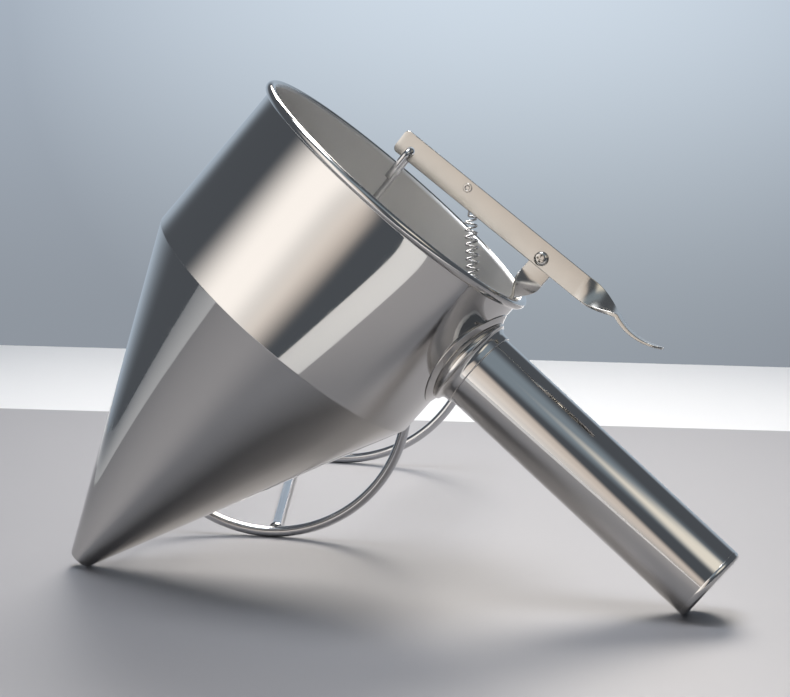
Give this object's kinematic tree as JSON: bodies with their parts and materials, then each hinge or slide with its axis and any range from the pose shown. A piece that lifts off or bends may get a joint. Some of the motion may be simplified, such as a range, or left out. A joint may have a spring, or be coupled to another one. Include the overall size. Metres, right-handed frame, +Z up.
{
  "type": "batter dispenser with stand",
  "caption": "Steel funnel hopper with a tube handle and a sprung thumb lever that lifts a plunger off its outlet, lying against its wire stand.",
  "frame": {"origin": "middle of the bottom of the object's box, on the table that the outlet, the handle's end and the stand's two rings touch", "axes": "+Z up; +X from the outlet towards the handle's end; +Y towards the stand, away from the side that the picture shows"},
  "size_m": [0.2954, 0.3176, 0.1987],
  "materials": {
    "polished_steel": "mirror-polished stainless steel outside, satin inside the hopper",
    "strip_steel": "polished stainless steel strip and fixings",
    "wire_steel": "polished stainless steel wire",
    "spring_steel": "drawn stainless spring wire"
  },
  "bodies": {
    "hopper": {"hopper_band": "polished_steel", "hopper_cone": "polished_steel", "handle_saddle": "polished_steel", "handle_neck": "polished_steel", "handle_tube": "polished_steel", "handle_end_cap": "polished_steel", "handle_screw": "strip_steel", "fulcrum_bracket": "strip_steel", "pivot_screw": "strip_steel", "pivot_washer": "strip_steel", "pivot_nut": "strip_steel", "return_spring": "spring_steel"},
    "lever": {"trigger_lever": "strip_steel", "spring_pin": "strip_steel"},
    "plunger": {"plunger_rod": "wire_steel", "plunger_plug": "strip_steel"},
    "stand": {"stand_top_ring": "wire_steel", "stand_base_ring": "wire_steel", "stand_leg_1": "wire_steel", "stand_leg_2": "wire_steel", "stand_leg_3": "wire_steel"}
  },
  "joints": [
    {"name": "lever_hinge", "type": "hinge", "parent": "hopper", "child": "lever", "pos_m": [0.06551, -0.0938, 0.13335], "axis": [0, 0.9936, -0.1132], "range_deg": [0, 16], "stiffness_Nm_per_rad": 0.6, "springref_deg": -17.19, "deforming": ["return_spring"]},
    {"name": "plunger_hinge", "type": "hinge", "parent": "lever", "child": "plunger", "pos_m": [0.01122, -0.08933, 0.17255], "axis": [0, 0.9936, -0.1132], "range_deg": [-16, 0]},
    {"name": "stand_slide", "type": "slide", "parent": "hopper", "child": "stand", "axis": [0, 1, 0], "range_m": [0, 0.12]}
  ],
  "couplings": [
    {"joint": "plunger_hinge", "follows": "lever_hinge", "ratio": -1}
  ]
}
